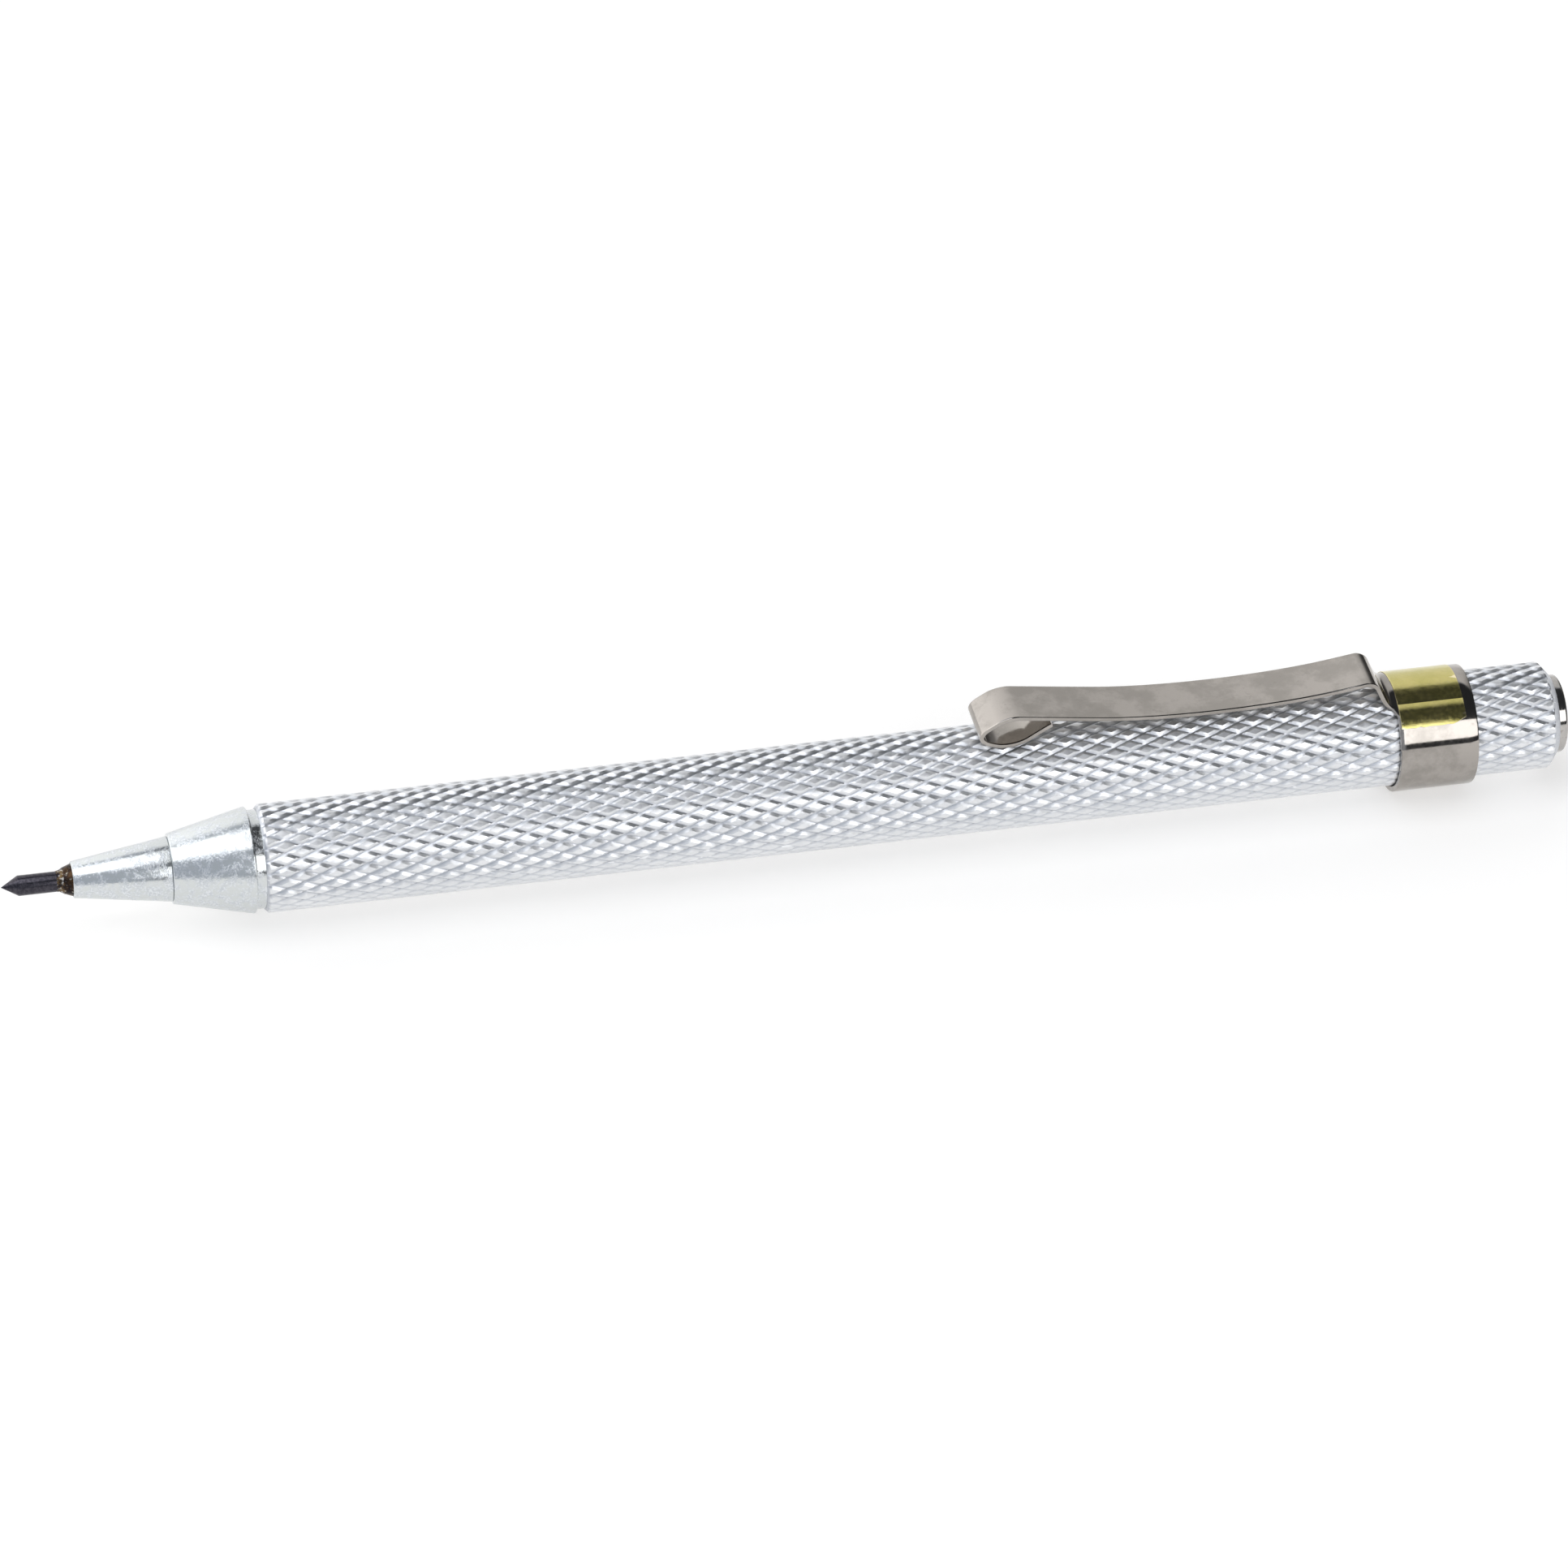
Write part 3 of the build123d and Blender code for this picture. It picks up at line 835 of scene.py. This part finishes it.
def build_magnet():
    profile = [
        (magnet_low.x, 0.0), (magnet_low.x, MAGNET_RADIUS),
        (magnet_high.x, MAGNET_RADIUS), (magnet_high.x, 0.0),
    ]
    bm = turned(profile)
    round_corners(bm, [
        (magnet_low.x, MAGNET_RADIUS, MAGNET_ROUNDING),
        (magnet_high.x, MAGNET_RADIUS, MAGNET_ROUNDING),
    ], segments=4)
    return bm


# ---------------------------------------------------------------- pocket clip and foil

RING_INNER_GAP = 0.08 * MM
RING_SIDES = 84
STRIP_HALF_COLUMNS = 9
STRIP_HALF_WIDTH = 2.325 * MM
ROOT_FILLET = 1.5 * MM
STRIP_THICKNESS = 0.4 * MM
RING_WIDTH = 7.1 * MM
STRIP_EDGE = 0.09 * MM
LONGEST_RUN = 1.6 * MM
RING_SHARES = (0.12, 0.3, 0.5, 0.7, 0.88, 1.0)
# How far ahead of the ring the strip's cross-section begins to flatten, and is flat
FLATTEN_FROM = 0.30 * MM
FLATTEN_TO = 1.55 * MM

# The neck's lower bend: distance ahead of the ring's front edge and outer radius in mm, segments
NECK_FOOT = (0.81, 0.75, 6)
# Corners of the strip's outer face: distance ahead of the ring's front edge, height above the
# barrel and the bend's outer radius, in mm, then how many segments the bend has
STRIP_CORNERS = [
    (2.00, 2.83, 1.30, 10),
    (15.9, 0.645, 73.0, 12),
    (35.3, 3.45, 3.20, 10),
    (39.0, 1.16, 1.15, 14),
    (34.7, -0.38, 3.60, 16),
    (31.15, 1.88, 0.0, 0),
]


def strip_stations(ring_front):
    """The outer face's line from the ring to the end of the foot, bends rounded."""
    corners = [(ring_front, RING_RADIUS, 0.0, 0)]
    ahead, bend, segments = NECK_FOOT
    corners.append((ring_front - ahead * MM, RING_RADIUS, bend * MM, segments))
    for ahead, height, bend, segments in STRIP_CORNERS:
        corners.append((ring_front - ahead * MM, BARREL_RADIUS + height * MM, bend * MM, segments))
    bm = bmesh.new()
    points = [bm.verts.new((x, 0.0, z)) for x, z, _, _ in corners]
    for pair in zip(points, points[1:]):
        bm.edges.new(pair)
    places = [p.co.copy() for p in points]
    for index, (_, _, bend, segments) in enumerate(corners):
        if not bend:
            continue
        turn = (places[index] - places[index - 1]).angle(places[index + 1] - places[index])
        bmesh.ops.bevel(bm, geom=[points[index]], offset=bend * math.tan(turn / 2),
                        offset_type="OFFSET", segments=segments, profile=0.5, affect="VERTICES",
                        material=-1)
    line, seen = [], set()
    vertex = min(bm.verts, key=lambda v: (v.co - places[0]).length)
    while vertex:
        line.append(vertex.co.copy())
        seen.add(vertex)
        beside = [edge.other_vert(vertex) for edge in vertex.link_edges]
        vertex = next((near for near in beside if near not in seen), None)
    bm.free()
    return even_out(line)


def even_out(line):
    """Adds stations on long straight runs, so that faces stay near square."""
    out = [line[0]]
    for corner in line[1:]:
        base = out[-1]
        step = corner - base
        pieces = max(1, math.ceil(step.length / LONGEST_RUN))
        out += [base + step * (k / pieces) for k in range(1, pieces + 1)]
    return out


def smooth_step(share):
    share = min(1.0, max(0.0, share))
    return share * share * (3 - 2 * share)


def build_clip():
    """A ring with a tongue drawn from its front edge, bent up as the neck and on to the foot."""
    ring_front = RING_REAR - RING_WIDTH
    bm = bmesh.new()
    upright = Matrix.Translation((RING_REAR, 0, 0)) @ Matrix.Rotation(math.pi / 2, 4, "Y")
    bmesh.ops.create_circle(bm, segments=RING_SIDES, radius=RING_RADIUS, cap_ends=False,
                            matrix=upright)
    edges = bm.edges[:]
    for share in RING_SHARES:
        edges = ring_of(bm, edges, RING_REAR - share * RING_WIDTH, RING_RADIUS)
    root_half_width = RING_RADIUS * math.sin(STRIP_HALF_COLUMNS * math.tau / RING_SIDES)
    edges = [e for e in edges
             if all(v.co.z > 0 and abs(v.co.y) < root_half_width + TOUCH for v in e.verts)]
    stations = strip_stations(ring_front)
    travelled, last, wide = 0.0, stations[0], root_half_width
    for station in stations[1:]:
        travelled += (station - last).length
        last = station
        left = max(0.0, 1 - travelled / ROOT_FILLET)
        narrow = STRIP_HALF_WIDTH
        narrow += (root_half_width - STRIP_HALF_WIDTH) * (1 - math.sqrt(1 - left * left))
        ahead = ring_front - station.x
        curved = 1 - smooth_step((ahead - FLATTEN_FROM) / (FLATTEN_TO - FLATTEN_FROM))
        verts, edges = extrude_rim(bm, edges)
        for v in verts:
            side = v.co.y * narrow / wide
            fall = RING_RADIUS - math.sqrt(RING_RADIUS ** 2 - side ** 2)
            v.co = Vector((station.x, side, station.z - fall * curved))
        wide = narrow
    bmesh.ops.recalc_face_normals(bm, faces=bm.faces)
    on_ring = min(bm.faces, key=lambda f: f.calc_center_median().z)
    if on_ring.normal.z > 0:
        bmesh.ops.reverse_faces(bm, faces=bm.faces)
    bmesh.ops.solidify(bm, geom=bm.faces[:], thickness=STRIP_THICKNESS)
    inner = BARREL_RADIUS + RING_INNER_GAP
    for v in bm.verts:
        reach = reach_of(v)
        if v.co.x > ring_front - TOUCH and reach < RING_RADIUS - STRIP_THICKNESS / 2:
            move_out(v, inner / reach)
    soften_rims(bm, STRIP_EDGE, segments=2)
    return bm


FOIL_START = math.radians(2.0)
FOIL_SWEEP = math.radians(138.5)
FOIL_COLUMNS = 14
FOIL_STEPS = 96
FOIL_THICKNESS = 0.05 * MM
FOIL_GLUE = 0.005 * MM
FOIL_EDGE = 0.018 * MM
# The torn corner: its reach along the ring and round it, how far it is torn back, and its lift
TEAR_LENGTH = 1.1 * MM
TEAR_TURN = math.radians(12)
TEAR_BACK = math.radians(5.0)
TEAR_LIFT = 0.05 * MM
# The end of the film is ragged over this turn, by this much
RAGGED_TURN = math.radians(5)
RAGGED_BACK = math.radians(1.1)


def build_foil():
    """Thin film bent round the ring, lifted below its fold, with one corner torn away."""
    skin = RING_RADIUS + FOIL_GLUE + FOIL_THICKNESS
    bm = bmesh.new()
    length = foil_high.x - foil_low.x
    across = [bm.verts.new((foil_low.x + length * k / FOIL_COLUMNS, skin * math.cos(FOIL_START),
                            skin * math.sin(FOIL_START))) for k in range(FOIL_COLUMNS + 1)]
    lines = [bm.edges.new(pair) for pair in zip(across, across[1:])]
    bmesh.ops.spin(bm, geom=across + lines, cent=(0, 0, 0), axis=(1, 0, 0), angle=FOIL_SWEEP,
                   steps=FOIL_STEPS)
    end_angle = FOIL_START + FOIL_SWEEP
    for v in bm.verts:
        angle = math.atan2(v.co.z, v.co.y)
        to_end = end_angle - angle
        torn = max(0.0, 1 - (foil_high.x - v.co.x) / TEAR_LENGTH)
        torn *= max(0.0, 1 - to_end / TEAR_TURN)
        ragged = max(0.0, 1 - to_end / RAGGED_TURN)
        ragged *= noise.noise(Vector((v.co.x * RAGGED_SCALE, 7.3, 0.0)))
        angle_now = angle - TEAR_BACK * torn - RAGGED_BACK * ragged
        past_fold = min(1.0, max(0.0, (angle - FOLD_START) / (FOLD_END - FOLD_START)))
        reach = skin + FOLD_LIFT * past_fold + TEAR_LIFT * torn
        v.co.y = reach * math.cos(angle_now)
        v.co.z = reach * math.sin(angle_now)
    bmesh.ops.recalc_face_normals(bm, faces=bm.faces)
    face = bm.faces[0]
    if face.normal.dot(face.calc_center_median() * Vector((0, 1, 1))) < 0:
        bmesh.ops.reverse_faces(bm, faces=bm.faces)
    bmesh.ops.solidify(bm, geom=bm.faces[:], thickness=FOIL_THICKNESS)
    soften_rims(bm, FOIL_EDGE, segments=1)
    return bm


# ---------------------------------------------------------------- put together

nose_finish = polished_aluminium()
finish_piece(build_knurled_barrel(), "knurled_barrel", knurled_aluminium(), "handle", ["barrel"],
             sharp=24.0)
finish_piece(build_chuck_body(), "nose_rear_cone", nose_finish, "handle", ["chuck_body"])
finish_piece(build_chuck_cap(), "nose_cap", nose_finish, "cap", ["chuck_cap"])
finish_piece(build_point_shank(), "scriber_shank", heat_stained_steel(), "point",
             ["point_shank"])
finish_piece(build_braze(), "braze_collar", smoky_braze(), "point", ["braze_fillet"])
finish_piece(build_carbide_tip(), "carbide_point", ground_carbide(), "point", ["carbide_tip"])
finish_piece(build_magnet(), "tail_magnet", nickel_magnet(), "handle", ["magnet"])
finish_piece(build_foil(), "foil_sticker", metallised_foil(), "clip", ["foil_label"])
clip = finish_piece(build_clip(), "pocket_clip", nickel_spring_steel(), None,
                    ["clip_band", "clip_arm"])
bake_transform(clip)

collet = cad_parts["collet"]
collet.data.materials.clear()
collet.data.materials.append(turned_brass())

# ---------------------------------------------------------------- floor, light and camera

def build_floor():
    bm = bmesh.new()
    bmesh.ops.create_grid(bm, x_segments=12, y_segments=12, size=3.0)
    bmesh.ops.translate(bm, verts=bm.verts, vec=(0, 0, FLOOR_LEVEL))
    material = bpy.data.materials.new("pale_floor")
    material.use_nodes = True
    tree = material.node_tree
    shader = tree.nodes["Principled BSDF"]
    shader.inputs["Roughness"].default_value = 0.9
    shader.inputs["Specular IOR Level"].default_value = 0.1
    # The floor glows with its own tone, a painted light that lifts the shadows falling on it.
    shader.inputs["Emission Strength"].default_value = 0.86
    paper = place(tree, mottle, Scale=4.0, Low=0.3, High=0.7)
    tone = mix_colour(tree, paper.outputs["Mask"], (0.605, 0.60, 0.59), (0.59, 0.585, 0.58))
    link(tree, tone, shader.inputs["Base Color"])
    link(tree, tone, shader.inputs["Emission Color"])
    as_object(bm, "floor", material)


def softbox(name, centre, aim, width, height, watts):
    lamp = bpy.data.lights.new(name, "AREA")
    lamp.shape = "RECTANGLE"
    lamp.size = width
    lamp.size_y = height
    lamp.energy = watts
    box = bpy.data.objects.new(name, lamp)
    bpy.context.scene.collection.objects.link(box)
    box.location = centre
    box.rotation_mode = "QUATERNION"
    box.rotation_quaternion = (Vector(aim) - Vector(centre)).to_track_quat("-Z", "Y")
    box.visible_camera = False


def build_studio():
    """A bright wall behind, a dark ceiling on the tail's side, and two softboxes: one overhead
    by the nose and one before the tail."""
    softbox("overhead_softbox", (-0.72, -0.10, 1.2), (-0.72, -0.10, 0.0), 1.40, 1.07, 7.4)
    softbox("front_softbox", (0.42, -1.0595, 0.5634), (0.42, 0.0, 0.0), 0.95, 0.734, 5.7)
    world = bpy.data.worlds.new("studio_room")
    bpy.context.scene.world = world
    world.use_nodes = True
    tree = world.node_tree
    background = tree.nodes["Background"]
    place_in = add(tree, "ShaderNodeTexCoord")
    split = add(tree, "ShaderNodeSeparateXYZ")
    link(tree, place_in.outputs["Generated"], split.inputs[0])
    axes = split.outputs
    behind = remap(tree, axes["Y"], 0.02, 0.22)
    low_down = remap(tree, axes["Z"], 0.76, 0.83, 1.0, 0.0)
    back_wall = times(tree, behind, low_down)
    ceiling = remap(tree, axes["X"], -0.06, 0.10, 0.56, 0.05)
    wall = times(tree, remap(tree, axes["X"], -0.7, 0.4, 1.75, 0.85, smooth=False),
                 remap(tree, axes["X"], 0.38, 0.62, 1.0, 0.1))
    level = add(tree, "ShaderNodeMix")
    link(tree, back_wall, level.inputs["Factor"])
    link(tree, ceiling, level.inputs[NUMBER_A])
    link(tree, wall, level.inputs[NUMBER_B])
    tint = mix_colour(tree, back_wall, (0.90, 0.96, 1.06), (1.0, 1.0, 1.0))
    link(tree, tint, background.inputs["Color"])
    link(tree, level.outputs[NUMBER_RESULT], background.inputs["Strength"])


def build_camera():
    """The lens stands off in front of the barrel and above it, rolled by a degree or two."""
    azimuth = math.radians(-13.039)
    elevation = math.radians(38.0)
    roll = math.radians(1.718)
    distance = 712.472 * MM
    aim = Vector((-70.457 * MM, 0, 0))
    rise = 1.371 * MM
    ahead = Vector((-math.sin(azimuth) * math.cos(elevation),
                    math.cos(azimuth) * math.cos(elevation), -math.sin(elevation)))
    right = Vector((math.cos(azimuth), math.sin(azimuth), 0))
    up = right.cross(ahead)
    turned_right = math.cos(roll) * right + math.sin(roll) * up
    turned_up = -math.sin(roll) * right + math.cos(roll) * up
    lens = bpy.data.cameras.new("camera")
    lens.sensor_width = 36.0
    lens.lens = 186.84
    lens.clip_start = 0.01
    lens.clip_end = 20.0
    camera = bpy.data.objects.new("camera", lens)
    bpy.context.scene.collection.objects.link(camera)
    frame_axes = Matrix((turned_right, turned_up, -ahead)).transposed().to_4x4()
    place_at = aim - ahead * distance + turned_up * rise
    camera.matrix_world = Matrix.Translation(place_at) @ frame_axes
    bpy.context.scene.camera = camera


build_floor()
build_studio()
build_camera()
bpy.context.scene.view_settings.view_transform = "Standard"
